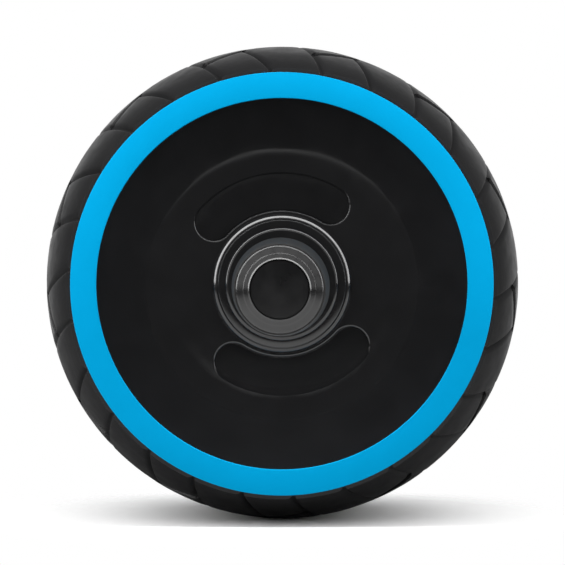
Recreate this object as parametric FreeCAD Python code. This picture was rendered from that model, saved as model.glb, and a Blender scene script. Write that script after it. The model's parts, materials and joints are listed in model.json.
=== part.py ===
import FreeCAD, Part
import math
import os

# An ab wheel roller: a wide wheel with a domed rubber tyre that turns on two ball bearings about a
# through axle, with a rubber grip at each end. Millimetres, +Z up, the axle along Y and the origin
# in the middle of the wheel. The left side is +Y. Angles are in degrees from +X towards +Z, which
# is counter-clockwise for someone who looks along +Y. Every station is a distance from the middle
# plane of the wheel, along the axle.

# Whole object
overall_length = 396.0
tyre_diameter = 190.0
wheel_width = 124.0

# Fits and cuts
press_gap = 0.02
slip_gap = 0.1
seat_gap = 0.05
overrun = 2.0
nearness = 0.001

# Trim ring
trim_plate = 3.0
trim_round = 0.4
trim_overlap = 1.6
trim_spigot_wall = 1.5
trim_spigot_length = 8.0

# Tyre and its tread
tyre_thickness = 5.0
tread_flat = 28.0
crown_drop = 11.2
tyre_lip = 1.5
tyre_edge_round = 1.4
tyre_edge_bulge_share = 0.2
tread_periods = 13
tread_phase_angle = 10.0
tread_margin_share = 0.11
groove_width = 1.5
groove_depth = 1.4
chevron_lean_share = 0.82
lean_start_share = 0.85
leaf_length = 32.5
leaf_corner_radius = 3.0
leaf_merge_length = 20.2
leaf_stop_share = 0.25
return_start_width = 4.2
return_end_width = 4.6

# Drum halves
drum_wall = 3.0
drum_lip = 2.48
web_thickness = 3.0
web_gap = 1.2
hub_wall = 4.0
hub_shoulder = 3.0
spoke_count = 6
rib_thickness = 2.4
rib_inset = 12.0
boss_diameter = 11.0
boss_circle_diameter = 106.0
spoke_tilt_angle = 8.0

# Drum screws
screw_diameter = 4.0
screw_head_diameter = 7.6
screw_head_height = 2.8
screw_seat = 12.0
screw_engagement = 13.0
screw_tip_room = 3.0
screw_slot_width = 1.0
screw_slot_length = 4.2
screw_slot_depth = 1.4

# Side cover
cover_wall = 2.2
dish_depth = 11.0
dish_flat_margin = 2.2
pocket_hub_gap = 1.4
pocket_width = 14.5
pocket_depth = 2.6
pocket_outer_depth = 0.8
pocket_half_angle = 40.0
pocket_tilt_angle = 8.0
pocket_round = 0.7

# Hub collar
collar_ledge = 2.4
collar_width = 5.6
collar_rise = 4.7
collar_bevel_width = 1.5
collar_bevel_drop = 1.2
collar_flat_width = 1.1
collar_dip = 1.0
collar_spigot_wall = 1.8
collar_spigot_length = 3.0

# Ball bearings
axle_diameter = 20.0
bearing_outer_diameter = 42.0
bearing_width = 12.0
ball_diameter = 6.35
ball_count = 9
ball_gap = 0.05
race_round_share = 0.52
shoulder_share = 0.41
cage_width_share = 1.26
cage_wall_share = 0.38
cage_pocket_gap = 0.12
shield_thickness = 0.4
shield_inset = 0.4
shield_gap = 0.3

# Axle, its plugs and circlips
axle_wall = 2.5
plug_length = 22.0
spacer_wall = 2.5
circlip_thickness = 1.2
circlip_depth = 0.5
circlip_height = 2.6
circlip_opening_angle = 40.0

# Handle core and its bolt
core_wall = 3.4
core_web = 3.5
neck_step = 1.5
neck_round = 0.6
guard_step = 7.75
guard_thickness = 4.0
guard_round = 1.5
grip_standoff = 2.0
bolt_diameter = 8.0
bolt_length = 20.0
bolt_head_diameter = 13.0
bolt_head_height = 4.4
socket_sides = 6
bolt_socket_width = 5.0
bolt_socket_depth = 2.6
bolt_room = 3.1
washer_diameter = 16.0
washer_thickness = 1.6

# Grip
grip_flange_wall = 3.9
grip_flange_length = 5.0
grip_flange_round = 2.0
grip_waist_wall = 2.5
grip_palm_wall = 4.5
grip_neck_wall = 3.0
grip_end_wall = 2.6
grip_end_band = 10.0
grip_end_round = 2.0
grip_waist_share = 0.15
grip_palm_share = 0.5
grip_neck_share = 0.86

# End cap and its disc
cap_overhang = 2.1
cap_lip_width = 5.0
cap_lip_rise = 3.4
cap_lip_shoulder = 0.6
cap_lip_round = 0.5
cap_lip_bulge = 0.15
cap_disc_thickness = 1.0
cap_disc_sink = 0.9
cap_stem_wall = 2.2
cap_stem_length = 2.4

# Values that follow from the driving dimensions
full_turn = 360.0
quarter_turn = full_turn / 4
tyre_radius = tyre_diameter / 2
ring_face = wheel_width / 2
end_face = overall_length / 2
tyre_edge = ring_face - trim_plate
tyre_edge_radius = tyre_radius - crown_drop
crown_run = tyre_edge - tread_flat / 2
crown_radius = (crown_run ** 2 + crown_drop ** 2) / (2 * crown_drop)
crown_centre = tyre_radius - crown_radius
trim_outer = tyre_edge_radius - tyre_lip

period_angle = full_turn / tread_periods
tread_margin_angle = tread_margin_share * period_angle / 2
apex_angle = tread_margin_angle + chevron_lean_share * period_angle / 2
leaf_base = tyre_edge_radius * math.sin(math.radians(tread_margin_angle - period_angle / 2))
chevron_base = tyre_edge_radius * math.sin(math.radians(tread_margin_angle))
chevron_lean = tyre_radius * math.sin(math.radians(apex_angle)) - chevron_base
lean_chord_angle = math.degrees(math.atan2(chevron_lean, tyre_edge))
lean_start_angle = lean_start_share * lean_chord_angle
lean_bend = math.radians(lean_chord_angle - lean_start_angle)
lean_radius = math.hypot(chevron_lean, tyre_edge) / (2 * math.sin(lean_bend))
lean_centre_across = lean_radius * math.cos(math.radians(lean_start_angle))
lean_centre_in = -lean_radius * math.sin(math.radians(lean_start_angle))

drum_edge_radius = crown_centre + math.sqrt((crown_radius - tyre_thickness) ** 2 - crown_run ** 2)
socket = drum_edge_radius - drum_lip
spigot_outer = socket - slip_gap
spigot_inner = spigot_outer - trim_spigot_wall
spigot_end = tyre_edge - trim_spigot_length
cover_outer = spigot_inner - slip_gap
trim_inner = cover_outer - trim_overlap

dish_floor = ring_face - dish_depth
pocket_floor = dish_floor - pocket_depth
web_face = pocket_floor - cover_wall - web_gap
web_back = web_face - web_thickness

bearing_outer = bearing_outer_diameter / 2
hub_outer = bearing_outer + hub_wall
hub_bore = bearing_outer - hub_shoulder
hub_end = dish_floor - cover_wall + seat_gap
bearing_face = hub_end - collar_spigot_length
bearing_back = bearing_face - bearing_width
bearing_middle = (bearing_face + bearing_back) / 2
collar_outer = hub_outer + collar_ledge
collar_inner = collar_outer - collar_width
collar_bore = bearing_outer - collar_spigot_wall

pocket_inner = collar_outer + pocket_hub_gap
pocket_outer = pocket_inner + pocket_width
dish_flat = pocket_outer + dish_flat_margin

axle_radius = axle_diameter / 2
axle_bore = axle_radius - axle_wall
bearing_bore = axle_radius + press_gap
ball_radius = ball_diameter / 2
pitch_radius = (bearing_bore + bearing_outer) / 2
race_round = race_round_share * ball_diameter
inner_shoulder = pitch_radius - shoulder_share * ball_diameter
outer_shoulder = pitch_radius + shoulder_share * ball_diameter

circlip_face = bearing_face + circlip_thickness
core_start = circlip_face + slip_gap
core_bore = axle_radius + seat_gap
core_outer = core_bore + core_wall
neck_outer = core_outer + neck_step
neck_end = ring_face + grip_standoff
guard_outer = core_outer + guard_step
guard_end = neck_end + guard_thickness
cap_seat = end_face - cap_lip_rise
bolt_seat = cap_seat - bolt_room - bolt_head_height
axle_end = bolt_seat - washer_thickness - core_web
cap_radius = core_outer + cap_overhang
disc_radius = cap_radius - cap_lip_width
bolt_radius = bolt_diameter / 2
core_recess = core_bore + core_wall / 2

origin = FreeCAD.Vector(0, 0, 0)
axle_axis = FreeCAD.Vector(0, 1, 0)
up_axis = FreeCAD.Vector(0, 0, 1)


def at(radius, station):
    """A point of a half profile: its distance from the axle, and its place along the axle."""
    return FreeCAD.Vector(radius, station, 0)


def round_the_axle(radius, angle, station):
    """A point at a distance from the axle, at an angle and a station."""
    turn = math.radians(angle)
    return FreeCAD.Vector(radius * math.cos(turn), station, radius * math.sin(turn))


def outline(start, *steps):
    """A closed wire. A point ends a straight run, and a pair (through, end) ends an arc."""
    edges = []
    here = start
    for step in (*steps, start):
        through, end = step if isinstance(step, tuple) else (None, step)
        if through is not None:
            edges.append(Part.Arc(here, through, end).toShape())
        elif here.distanceToPoint(end) > nearness:
            edges.append(Part.LineSegment(here, end).toShape())
        here = end
    return Part.Wire(edges)


def turned(wire, angle=full_turn):
    """The solid that a half profile makes as it turns about the axle, from +X towards +Z."""
    return Part.Face(wire).revolve(origin, -axle_axis, angle)


def ring(inner, outer, low, high):
    """A plain ring about the axle between two radii and two stations."""
    return turned(outline(at(inner, low), at(outer, low), at(outer, high), at(inner, high)))


def spun(shape, angle):
    """A copy of a shape turned about the axle, from +X towards +Z."""
    copy = shape.copy()
    copy.rotate(origin, -axle_axis, angle)
    return copy


def spread(shape, count, first_angle):
    """Copies of a shape at equal angles round the axle."""
    step = full_turn / count
    return [spun(shape, first_angle + step * index) for index in range(count)]


def rims(shape, radius, station):
    """The edges of a shape that run round the axle at one radius and one station."""
    found = []
    for edge in shape.Edges:
        middle = edge.valueAt((edge.FirstParameter + edge.LastParameter) / 2)
        points = [middle, *(vertex.Point for vertex in edge.Vertexes)]
        off = [abs(math.hypot(p.x, p.z) - radius) + abs(p.y - station) for p in points]
        if max(off) < nearness:
            found.append(edge)
    return found


def level_through(low, top):
    """The middle of an arc that leaves a low point and is level where it reaches a top point."""
    across = low.x - top.x
    drop = top.y - low.y
    radius = (across ** 2 + drop ** 2) / (2 * drop)
    half = math.atan2(drop, abs(across))
    aside = math.copysign(radius * math.sin(half), across)
    return at(top.x + aside, top.y - radius * (1 - math.cos(half)))


def crown(depth, station):
    """The distance from the axle of the domed surface that lies a depth under the tyre's tread."""
    past_flat = max(abs(station) - tread_flat / 2, 0)
    return crown_centre + math.sqrt((crown_radius - depth) ** 2 - past_flat ** 2)


def domed(depth, start, end):
    """Steps of an outline along the domed surface at a depth: arcs, and a line across the flat band."""
    half_flat = tread_flat / 2
    way = math.copysign(1, end - start)
    steps = []
    here = start
    for there in (-way * half_flat, way * half_flat, end):
        if (there - here) * way < nearness or (end - there) * way < 0:
            continue
        middle = (here + there) / 2
        finish = at(crown(depth, there), there)
        steps.append((at(crown(depth, middle), middle), finish) if abs(middle) > half_flat else finish)
        here = there
    return steps


def lean(inward):
    """How far round the tyre a groove has leaned, at a distance in from the tyre's edge."""
    return lean_centre_across - math.sqrt(lean_radius ** 2 - (inward - lean_centre_in) ** 2)


def plan(across, inward, side):
    """A point of the tread's flat plan, seen from outside: across is the way round, towards +Z."""
    return FreeCAD.Vector(-across, side * (tyre_edge - inward), 0)


def chevron_line():
    """The long groove: from one edge of the tyre, leaning, to the middle and back to the other edge."""
    edges = []
    for side in (1, -1):
        outside = plan(chevron_base, -overrun, side)
        edge = plan(chevron_base, 0, side)
        halfway = plan(chevron_base + lean(tyre_edge / 2), tyre_edge / 2, side)
        apex = plan(chevron_base + chevron_lean, tyre_edge, side)
        edges.append(Part.LineSegment(outside, edge).toShape())
        edges.append(Part.Arc(edge, halfway, apex).toShape())
    return edges


def leaf_plan():
    """The short groove's points in plan: it leans in like the long one, turns and runs to meet it."""
    corner_in = leaf_length - leaf_corner_radius
    reach = lean_radius - leaf_corner_radius
    centre_across = leaf_base + lean_centre_across
    corner_across = centre_across - math.sqrt(reach ** 2 - (corner_in - lean_centre_in) ** 2)
    turn_in = math.atan2(corner_in - lean_centre_in, corner_across - centre_across)
    turn_start_in = lean_centre_in + lean_radius * math.sin(turn_in)

    merge_across = chevron_base + lean(leaf_merge_length) - leaf_stop_share * groove_width
    away_across = merge_across - corner_across
    away_in = leaf_merge_length - corner_in
    turn_out = math.atan2(away_in, away_across)
    turn_out += math.acos(leaf_corner_radius / math.hypot(away_across, away_in))

    def on_corner(angle):
        across = corner_across + leaf_corner_radius * math.cos(angle)
        return across, corner_in + leaf_corner_radius * math.sin(angle)

    return {
        "outside": (leaf_base, -overrun),
        "edge": (leaf_base, 0),
        "halfway": (leaf_base + lean(turn_start_in / 2), turn_start_in / 2),
        "turn_start": (leaf_base + lean(turn_start_in), turn_start_in),
        "turn_middle": on_corner((turn_in + turn_out) / 2),
        "turn_end": on_corner(turn_out),
        "merge": (merge_across, leaf_merge_length),
    }


def leaf_line(side):
    """The short groove of one side."""
    points = {name: plan(*point, side) for name, point in leaf_plan().items()}
    return [
        Part.LineSegment(points["outside"], points["edge"]).toShape(),
        Part.Arc(points["edge"], points["halfway"], points["turn_start"]).toShape(),
        Part.Arc(points["turn_start"], points["turn_middle"], points["turn_end"]).toShape(),
        Part.LineSegment(points["turn_end"], points["merge"]).toShape(),
    ]


def widened(edges):
    """The flat strip of one groove: its line widened to the groove's width."""
    return Part.Face(Part.Wire(Part.sortEdges(edges)[0]).makeOffset2D(groove_width / 2))


def leaf_return(side):
    """The flat shape of the short groove's last run, which is wider than the rest of it."""
    points = leaf_plan()
    corners = []
    runs = (("turn_end", return_start_width, (1, -1)), ("merge", return_end_width, (-1, 1)))
    for name, width, ways in runs:
        across, inward = points[name]
        for way in ways:
            aside = way * width / 2
            shift = lean(inward + aside) - lean(inward)
            corners.append(plan(across + shift, inward + aside, side))
    return Part.Face(outline(*corners))


def sunk(flat):
    """The cutter of a flat shape of the tread: raised through the tyre, down to the grooves' floor."""
    wall = flat.extrude(up_axis * (tyre_radius + overrun))
    floor = turned(outline(
        at(0, -tyre_edge),
        at(crown(groove_depth, tyre_edge), -tyre_edge),
        *domed(groove_depth, -tyre_edge, tyre_edge),
        at(0, tyre_edge),
    ))
    return wall.cut(floor)


def tyre():
    """The domed tyre, made as one upright period of its tread and copied round the axle."""
    shoulder = tyre_edge - tyre_edge_round
    bulge = tyre_edge_bulge_share * tyre_edge_round
    on_crown = {side: at(crown(0, shoulder), side * shoulder) for side in (1, -1)}
    on_face = {side: at(tyre_edge_radius - tyre_edge_round, side * tyre_edge) for side in (1, -1)}
    through = {}
    for side in (1, -1):
        through[side] = (on_crown[side] + on_face[side]) * (1 / 2) + at(bulge, side * bulge)
    block = turned(outline(
        at(drum_edge_radius, -tyre_edge),
        on_face[-1],
        (through[-1], on_crown[-1]),
        *domed(0, -shoulder, shoulder),
        (through[1], on_face[1]),
        at(drum_edge_radius, tyre_edge),
        *domed(tyre_thickness, tyre_edge, -tyre_edge),
    ), period_angle)
    upright = (full_turn / 2 - period_angle) / 2
    block = spun(block, upright)
    cutters = [sunk(widened(chevron_line()))]
    for side in (1, -1):
        cutters += [sunk(widened(leaf_line(side))), sunk(leaf_return(side))]
    block = block.cut(cutters)
    blocks = spread(spun(block, -upright), tread_periods, tread_phase_angle - tread_margin_angle)
    return blocks[0].multiFuse(blocks[1:]).removeSplitter()


def trim_ring():
    """The flat ring that clamps the tyre's edge and the cover's rim, with a spigot into the drum."""
    body = turned(outline(
        at(trim_inner, tyre_edge),
        at(spigot_inner, tyre_edge),
        at(spigot_inner, spigot_end),
        at(spigot_outer, spigot_end),
        at(spigot_outer, tyre_edge),
        at(trim_outer, tyre_edge),
        at(trim_outer, ring_face),
        at(trim_inner, ring_face),
    ))
    corners = rims(body, trim_outer, ring_face) + rims(body, trim_inner, ring_face)
    return body.makeFillet(trim_round, corners)


def drum_half(takes_heads):
    """One half of the drum: rim, web and hub tube, with ribs and screw bosses inside."""
    tread_depth = tyre_thickness + seat_gap
    rim_depth = tread_depth + drum_wall
    skirt_bore = cover_outer + slip_gap
    shell = turned(outline(
        at(hub_bore, 0),
        at(hub_outer, 0),
        at(hub_outer, web_back),
        at(crown(rim_depth, web_back), web_back),
        *domed(rim_depth, web_back, 0),
        at(crown(tread_depth, 0), 0),
        *domed(tread_depth, 0, tyre_edge),
        at(socket, tyre_edge),
        at(socket, spigot_end),
        at(skirt_bore, spigot_end),
        at(skirt_bore, web_face),
        at(hub_outer, web_face),
        at(hub_outer, hub_end),
        at(bearing_outer + press_gap, hub_end),
        at(bearing_outer + press_gap, bearing_back),
        at(hub_bore, bearing_back),
    ))
    rib_length = crown(rim_depth, web_back) - hub_outer + drum_wall
    rib = Part.makeBox(
        rib_length, web_back - rib_inset + web_thickness / 2, rib_thickness,
        FreeCAD.Vector(hub_outer - hub_wall / 2, rib_inset, -rib_thickness / 2),
    )
    boss_radius = boss_diameter / 2
    boss_place = FreeCAD.Vector(boss_circle_diameter / 2, 0, 0)
    boss = Part.makeCylinder(boss_radius, web_back + web_thickness / 2, boss_place, axle_axis)
    half_step = full_turn / spoke_count / 2
    half = shell.fuse(
        spread(rib, spoke_count, spoke_tilt_angle) + spread(boss, spoke_count, spoke_tilt_angle + half_step)
    )
    hole_radius = screw_diameter / 2 + seat_gap
    if takes_heads:
        hole = Part.makeCylinder(hole_radius, web_face + overrun, boss_place, axle_axis)
        seat = boss_place + axle_axis * screw_seat
        head_room = Part.makeCylinder(screw_head_diameter / 2 + slip_gap, web_face, seat, axle_axis)
        hole = hole.fuse(head_room)
    else:
        hole = Part.makeCylinder(hole_radius, screw_engagement + screw_tip_room, boss_place, axle_axis)
    return half.cut(spread(hole, spoke_count, spoke_tilt_angle + half_step)).removeSplitter()


def drum_screws():
    """The screws through the right half's bosses into the left half's, heads on the right."""
    radius = screw_diameter / 2
    place = FreeCAD.Vector(boss_circle_diameter / 2, -screw_seat, 0)
    head = Part.makeCylinder(screw_head_diameter / 2, screw_head_height, place, -axle_axis)
    shank = Part.makeCylinder(radius, screw_seat + screw_engagement, place, axle_axis)
    screw = head.fuse(shank).removeSplitter()
    half_width = screw_slot_width / 2
    half_length = screw_slot_length / 2
    slot_floor = -screw_seat - screw_head_height + screw_slot_depth
    for across, upright in ((half_width, half_length), (half_length, half_width)):
        corner = FreeCAD.Vector(place.x - across, slot_floor - screw_slot_depth, -upright)
        screw = screw.cut(Part.makeBox(2 * across, screw_slot_depth, 2 * upright, corner))
    half_step = full_turn / spoke_count / 2
    return Part.makeCompound(spread(screw, spoke_count, spoke_tilt_angle + half_step))


def kidney(growth, low, high):
    """A kidney-shaped prism about +X: a band round the axle with round ends, grown all round."""
    middle_radius = (pocket_inner + pocket_outer) / 2
    half_width = pocket_width / 2 + growth
    inner = middle_radius - half_width
    outer = middle_radius + half_width
    ends = []
    for side in (1, -1):
        turn = math.radians(side * pocket_half_angle)
        past = FreeCAD.Vector(-math.sin(turn), 0, math.cos(turn)) * (side * half_width)
        ends.append(round_the_axle(middle_radius, side * pocket_half_angle, low) + past)
    face = Part.Face(outline(
        round_the_axle(inner, -pocket_half_angle, low),
        (round_the_axle(inner, 0, low), round_the_axle(inner, pocket_half_angle, low)),
        (ends[0], round_the_axle(outer, pocket_half_angle, low)),
        (round_the_axle(outer, 0, low), round_the_axle(outer, -pocket_half_angle, low)),
        (ends[1], round_the_axle(inner, -pocket_half_angle, low)),
    ))
    return face.extrude(axle_axis * (high - low))


def side_cover():
    """The dished cover: flat round the hub, rising to its rim, with a skirt and two kidney pockets."""
    hole = hub_outer + slip_gap
    run = trim_inner - dish_flat
    rise = tyre_edge - dish_floor
    bowl = (run ** 2 + rise ** 2) / (2 * rise)
    skirt_inner = cover_outer - cover_wall

    def bowl_at(radius, depth):
        return dish_floor + bowl - math.sqrt((bowl + depth) ** 2 - (radius - dish_flat) ** 2)

    top_middle = dish_flat + run / 2
    under_middle = (dish_flat + skirt_inner) / 2
    shell = turned(outline(
        at(hole, dish_floor),
        at(dish_flat, dish_floor),
        (at(top_middle, bowl_at(top_middle, 0)), at(trim_inner, tyre_edge)),
        at(cover_outer, tyre_edge),
        at(cover_outer, web_face),
        at(skirt_inner, web_face),
        at(skirt_inner, bowl_at(skirt_inner, cover_wall)),
        (at(under_middle, bowl_at(under_middle, cover_wall)), at(dish_flat, dish_floor - cover_wall)),
        at(hole, dish_floor - cover_wall),
    ))
    slope = (pocket_depth - pocket_outer_depth) / pocket_width
    above_floor = turned(outline(
        at(pocket_inner - overrun, pocket_floor - slope * overrun),
        at(pocket_outer + overrun, dish_floor - pocket_outer_depth + slope * overrun),
        at(pocket_outer + overrun, dish_floor + overrun),
        at(pocket_inner - overrun, dish_floor + overrun),
    ))
    pan = kidney(cover_wall, pocket_floor - cover_wall, dish_floor - cover_wall / 2)
    hollow = kidney(0, pocket_floor - cover_wall, dish_floor + overrun).common(above_floor)
    first_angle = quarter_turn + pocket_tilt_angle
    cover = shell.fuse(spread(pan, 2, first_angle)).cut(spread(hollow, 2, first_angle)).removeSplitter()
    corners = []
    for edge in cover.Edges:
        radii = [math.hypot(v.X, v.Z) for v in edge.Vertexes]
        level = all(abs(v.Y - dish_floor) < nearness for v in edge.Vertexes)
        if level and min(radii) > pocket_inner - nearness and max(radii) < pocket_outer + nearness:
            corners.append(edge)
    return cover.makeFillet(pocket_round, corners)


def hub_collar():
    """The bevelled ring that seats on the hub tube, holds the cover down and keeps the bearing in."""
    crest = dish_floor + collar_rise
    bevel_inner = collar_outer - collar_bevel_width
    spigot = bearing_outer - seat_gap
    step = hub_outer - seat_gap
    return turned(outline(
        at(collar_bore, bearing_face),
        at(spigot, bearing_face),
        at(spigot, hub_end),
        at(step, hub_end),
        at(step, dish_floor),
        at(collar_outer, dish_floor),
        at(collar_outer, crest - collar_bevel_drop),
        at(bevel_inner, crest),
        at(bevel_inner - collar_flat_width, crest),
        at(collar_inner, crest - collar_dip),
        at(collar_inner, dish_floor),
        at(collar_bore, hub_end),
    ))


def bearing_outer_ring():
    """The bearing's outer ring, with its ball groove."""
    bottom = pitch_radius + ball_radius + ball_gap
    half_groove = math.sqrt(race_round ** 2 - (outer_shoulder - bottom + race_round) ** 2)
    return turned(outline(
        at(outer_shoulder, bearing_back),
        at(bearing_outer, bearing_back),
        at(bearing_outer, bearing_face),
        at(outer_shoulder, bearing_face),
        at(outer_shoulder, bearing_middle + half_groove),
        (at(bottom, bearing_middle), at(outer_shoulder, bearing_middle - half_groove)),
    ))


def bearing_inner_ring():
    """The bearing's inner ring, with its ball groove."""
    bottom = pitch_radius - ball_radius - ball_gap
    half_groove = math.sqrt(race_round ** 2 - (bottom + race_round - inner_shoulder) ** 2)
    return turned(outline(
        at(bearing_bore, bearing_back),
        at(inner_shoulder, bearing_back),
        at(inner_shoulder, bearing_middle - half_groove),
        (at(bottom, bearing_middle), at(inner_shoulder, bearing_middle + half_groove)),
        at(inner_shoulder, bearing_face),
        at(bearing_bore, bearing_face),
    ))


def bearing_balls():
    """The balls of one bearing."""
    ball = Part.makeSphere(ball_radius, at(pitch_radius, bearing_middle))
    return Part.makeCompound(spread(ball, ball_count, 0))


def bearing_cage():
    """The ring that keeps the balls apart, with one window for each ball."""
    half_width = cage_width_share * ball_diameter / 2
    half_wall = cage_wall_share * ball_diameter / 2
    band = ring(
        pitch_radius - half_wall, pitch_radius + half_wall,
        bearing_middle - half_width, bearing_middle + half_width,
    )
    window = Part.makeCylinder(
        ball_radius + cage_pocket_gap, bearing_outer, at(0, bearing_middle), FreeCAD.Vector(1, 0, 0)
    )
    return band.cut(spread(window, ball_count, 0))


def bearing_shields():
    """The two thin shields that close the bearing, held by its outer ring."""
    inner = inner_shoulder + shield_gap
    outer = outer_shoulder - press_gap
    shields = []
    for face, way in ((bearing_face, -1), (bearing_back, 1)):
        near = face + way * shield_inset
        far = near + way * shield_thickness
        shields.append(ring(inner, outer, min(near, far), max(near, far)))
    return Part.makeCompound(shields)


def axle():
    """The steel tube right through the wheel, with a groove for each circlip."""
    tube = ring(axle_bore, axle_radius, -axle_end, axle_end)
    for low in (bearing_face, -circlip_face):
        bottom = axle_radius - circlip_depth
        tube = tube.cut(ring(bottom, axle_radius + overrun, low, low + circlip_thickness))
    return tube


def bearing_spacer():
    """The sleeve on the axle that keeps the two inner rings apart."""
    return ring(core_bore, core_bore + spacer_wall, -bearing_back, bearing_back)


def circlip():
    """The open spring ring in the axle's groove, outboard of the bearing."""
    inner = axle_radius - circlip_depth + press_gap
    face = Part.Face(outline(
        at(inner, bearing_face),
        at(inner + circlip_height, bearing_face),
        at(inner + circlip_height, circlip_face),
        at(inner, circlip_face),
    ))
    clip = face.revolve(origin, -axle_axis, full_turn - circlip_opening_angle)
    return spun(clip, circlip_opening_angle / 2 - quarter_turn)


def axle_plug():
    """The threaded plug in the end of the axle tube."""
    return ring(bolt_radius + seat_gap, axle_bore - press_gap, axle_end - plug_length, axle_end)


def handle_core():
    """The tube on the axle's end: a neck, a guard, a seat for the grip and a web that the bolt clamps."""
    recess_floor = axle_end + core_web
    body = turned(outline(
        at(core_bore, core_start),
        at(neck_outer, core_start),
        at(neck_outer, neck_end),
        at(guard_outer, neck_end),
        at(guard_outer, guard_end),
        at(core_outer, guard_end),
        at(core_outer, cap_seat),
        at(core_recess, cap_seat),
        at(core_recess, recess_floor),
        at(bolt_radius + slip_gap, recess_floor),
        at(bolt_radius + slip_gap, axle_end),
        at(core_bore, axle_end),
    ))
    for station in (neck_end, guard_end):
        body = body.makeFillet(guard_round, rims(body, guard_outer, station))
    return body.makeFillet(neck_round, rims(body, neck_outer, core_start))


def handle_washer():
    """The flat washer under the bolt's head."""
    return ring(bolt_radius + slip_gap, washer_diameter / 2, bolt_seat - washer_thickness, bolt_seat)


def handle_bolt():
    """The socket-head bolt that holds the handle core on the axle."""
    seat = at(0, bolt_seat)
    head = Part.makeCylinder(bolt_head_diameter / 2, bolt_head_height, seat, axle_axis)
    shank = Part.makeCylinder(bolt_radius, bolt_length, seat, -axle_axis)
    floor = bolt_seat + bolt_head_height - bolt_socket_depth
    corner_radius = bolt_socket_width / 2 / math.cos(math.pi / socket_sides)
    step = full_turn / socket_sides
    corners = [round_the_axle(corner_radius, step * index, floor) for index in range(socket_sides)]
    socket = Part.Face(outline(*corners)).extrude(axle_axis * (bolt_socket_depth + overrun))
    return head.fuse(shank).removeSplitter().cut(socket)


def grip():
    """The rubber grip: a low flange at the guard, a waist, a palm swell and a straight end band."""
    bore = core_outer + seat_gap
    flange = bore + grip_flange_wall
    end = bore + grip_end_wall
    band_end = cap_seat - grip_end_round
    band_start = band_end - grip_end_band
    flange_end = guard_end + grip_flange_length
    span = band_start - flange_end
    swell = Part.BSplineCurve()
    swell.interpolate(
        Points=[
            at(flange, flange_end),
            at(bore + grip_waist_wall, flange_end + grip_waist_share * span),
            at(bore + grip_palm_wall, flange_end + grip_palm_share * span),
            at(bore + grip_neck_wall, flange_end + grip_neck_share * span),
            at(end, band_start),
        ],
        InitialTangent=axle_axis,
        FinalTangent=axle_axis,
    )
    diagonal = math.sqrt(1 / 2)
    end_drop = end - cap_radius
    corners = [
        (at(bore, cap_seat), at(bore, guard_end)),
        (at(bore, guard_end), at(flange - grip_flange_round, guard_end)),
        (at(flange, guard_end + grip_flange_round), at(flange, flange_end)),
        (at(end, band_start), at(end, band_end)),
        (at(cap_radius, cap_seat), at(bore, cap_seat)),
    ]
    edges = [Part.LineSegment(start, finish).toShape() for start, finish in corners]
    edges.append(Part.Arc(
        at(flange - grip_flange_round, guard_end),
        at(flange - grip_flange_round * (1 - diagonal), guard_end + grip_flange_round * (1 - diagonal)),
        at(flange, guard_end + grip_flange_round),
    ).toShape())
    edges.append(swell.toShape())
    edges.append(Part.Arc(
        at(end, band_end),
        at(end - end_drop * (1 - diagonal), band_end + grip_end_round * diagonal),
        at(cap_radius, cap_seat),
    ).toShape())
    return turned(Part.Wire(Part.sortEdges(edges)[0]))


def end_cap():
    """The end cap: a rounded lip with a recess for the disc, and a hollow stem in the handle core."""
    lip_side = cap_seat + cap_lip_shoulder
    recess_edge = end_face - cap_disc_sink
    recess_floor = recess_edge - cap_disc_thickness
    lip_foot = at(cap_radius, lip_side)
    lip_crest = at(disc_radius + cap_lip_round, end_face)
    lip_middle = (lip_foot + lip_crest) * (1 / 2) + at(cap_lip_bulge, cap_lip_bulge)
    disc_edge = at(disc_radius, recess_edge)
    stem_outer = core_recess - seat_gap
    stem_end = cap_seat - cap_stem_length
    return turned(outline(
        at(0, recess_floor),
        at(0, cap_seat),
        at(stem_outer - cap_stem_wall, cap_seat),
        at(stem_outer - cap_stem_wall, stem_end),
        at(stem_outer, stem_end),
        at(stem_outer, cap_seat),
        at(cap_radius, cap_seat),
        lip_foot,
        (lip_middle, lip_crest),
        (level_through(disc_edge, lip_crest), disc_edge),
        at(disc_radius, recess_floor),
    ))


def cap_disc():
    """The plain disc in the end cap's recess."""
    top = end_face - cap_disc_sink
    return Part.makeCylinder(
        disc_radius - seat_gap, cap_disc_thickness, at(0, top - cap_disc_thickness), axle_axis
    )


def on_side(side, shape):
    """A shape made for the left side, left there or mirrored to the right side."""
    return shape if side == "left" else shape.mirror(origin, axle_axis)


def pieces():
    """Every piece of the roller, by name."""
    found = {
        "tyre": tyre(),
        "drum_screws": drum_screws(),
        "axle": axle(),
        "bearing_spacer": bearing_spacer(),
    }
    paired = {
        "trim_ring": trim_ring,
        "side_cover": side_cover,
        "hub_collar": hub_collar,
        "bearing_outer_ring": bearing_outer_ring,
        "bearing_inner_ring": bearing_inner_ring,
        "bearing_balls": bearing_balls,
        "bearing_cage": bearing_cage,
        "bearing_shields": bearing_shields,
        "circlip": circlip,
        "axle_plug": axle_plug,
        "handle_core": handle_core,
        "handle_washer": handle_washer,
        "handle_bolt": handle_bolt,
        "grip": grip,
        "end_cap": end_cap,
        "cap_disc": cap_disc,
    }
    for side in ("left", "right"):
        found[f"{side}_drum_half"] = on_side(side, drum_half(takes_heads=side == "right"))
        for name, make in paired.items():
            found[f"{side}_{name}"] = on_side(side, make())
    return found


os.makedirs("parts", exist_ok=True)
for name, shape in pieces().items():
    print(name, len(shape.Solids), shape.isValid(), round(shape.Volume))
    shape.exportStep(f"parts/{name}.step")
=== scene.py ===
"""An ab wheel roller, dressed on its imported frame: wheel, bearings, handles and a plain studio."""

import json
import logging
import math
from dataclasses import dataclass
from enum import Enum

import bmesh
import bpy
from mathutils import Matrix, Vector
from mathutils.geometry import interpolate_bezier


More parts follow.
